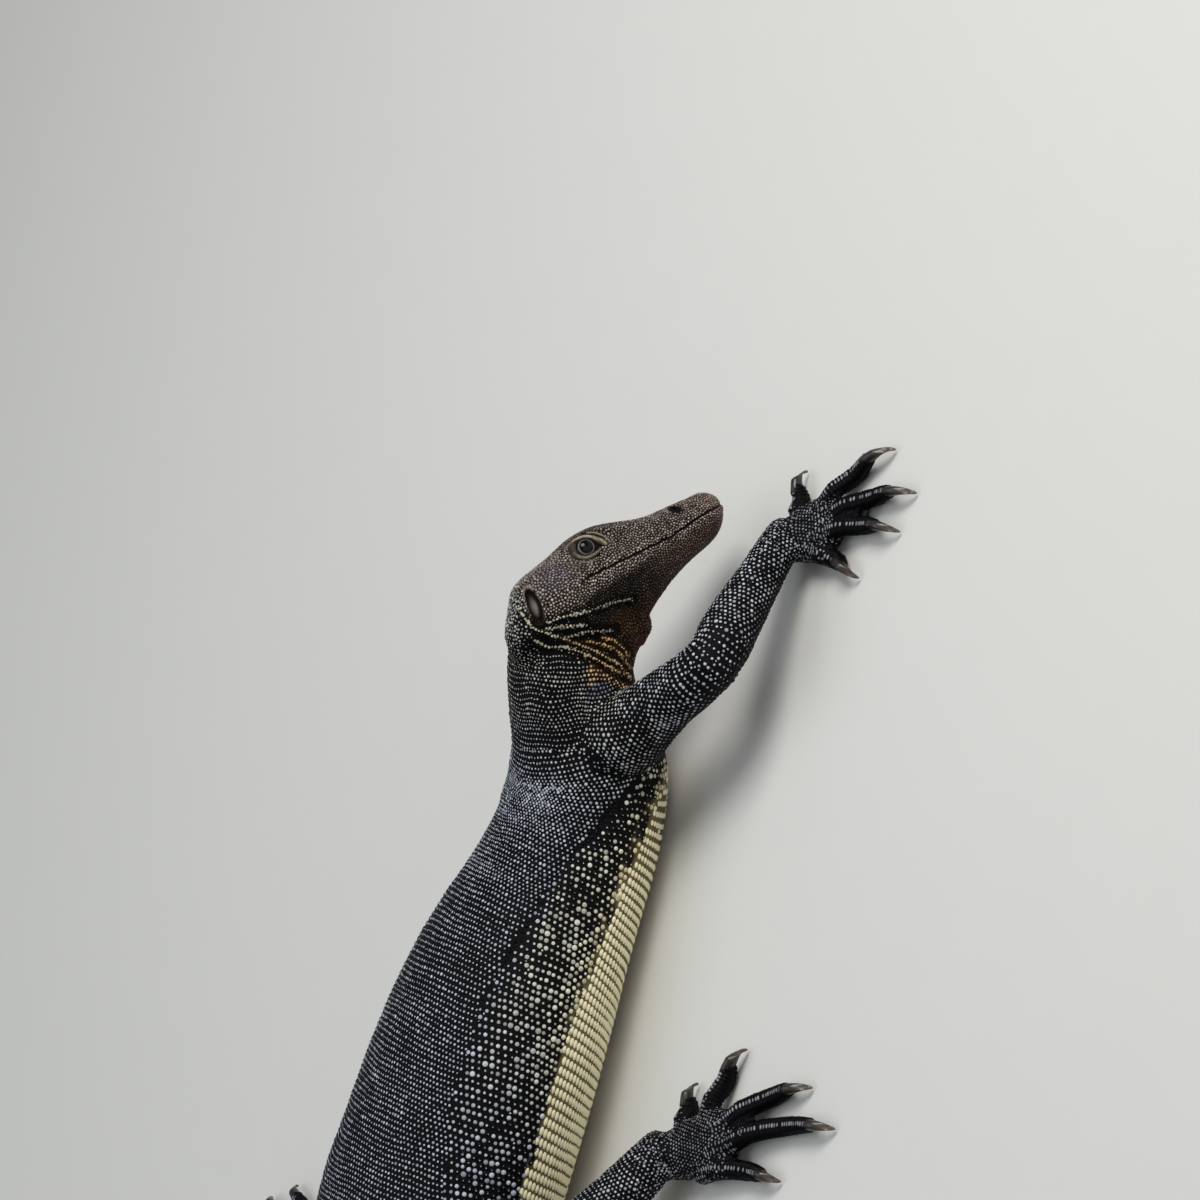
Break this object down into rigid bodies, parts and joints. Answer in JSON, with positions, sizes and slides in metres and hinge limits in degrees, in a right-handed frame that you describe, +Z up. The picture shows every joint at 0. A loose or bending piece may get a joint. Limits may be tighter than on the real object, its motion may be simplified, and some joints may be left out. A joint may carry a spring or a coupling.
{
  "type": "water monitor lizard",
  "caption": "Still, life-size water monitor lizard resting on its belly, right arm reaching forward, head bent down, long tapering tail laid in an easy curve.",
  "frame": {"origin": "On the floor, under the middle of the belly, at the centre of the flat that the belly rests on.", "axes": "+X runs from tail to head along the floor, +Z is up, and +Y is the animal's left."},
  "size_m": [1.26, 0.4291, 0.0988],
  "materials": {
    "skin_dark": "scaly, satin",
    "skin_head": "scaly, satin",
    "claw": "horn, half gloss",
    "eye": "wet gloss"
  },
  "bodies": {
    "root": {"head": "skin_head", "lower_jaw": "skin_head", "eye_right": "eye", "eye_left": "eye", "neck": "skin_dark", "torso": "skin_dark", "tail_base": "skin_dark", "tail_front": "skin_dark", "tail_rear": "skin_dark", "tail_tip": "skin_dark", "upper_arm_right": "skin_dark", "forearm_right": "skin_dark", "hand_right": "skin_dark", "finger_claw_right_1": "claw", "finger_claw_right_2": "claw", "finger_claw_right_3": "claw", "finger_claw_right_4": "claw", "finger_claw_right_5": "claw", "thigh_right": "skin_dark", "shank_right": "skin_dark", "foot_right": "skin_dark", "toe_claw_right_1": "claw", "toe_claw_right_2": "claw", "toe_claw_right_3": "claw", "toe_claw_right_4": "claw", "toe_claw_right_5": "claw", "upper_arm_left": "skin_dark", "forearm_left": "skin_dark", "hand_left": "skin_dark", "finger_claw_left_1": "claw", "finger_claw_left_2": "claw", "finger_claw_left_3": "claw", "finger_claw_left_4": "claw", "finger_claw_left_5": "claw", "thigh_left": "skin_dark", "shank_left": "skin_dark", "foot_left": "skin_dark", "toe_claw_left_1": "claw", "toe_claw_left_2": "claw", "toe_claw_left_3": "claw", "toe_claw_left_4": "claw", "toe_claw_left_5": "claw"}
  },
  "joints": []
}
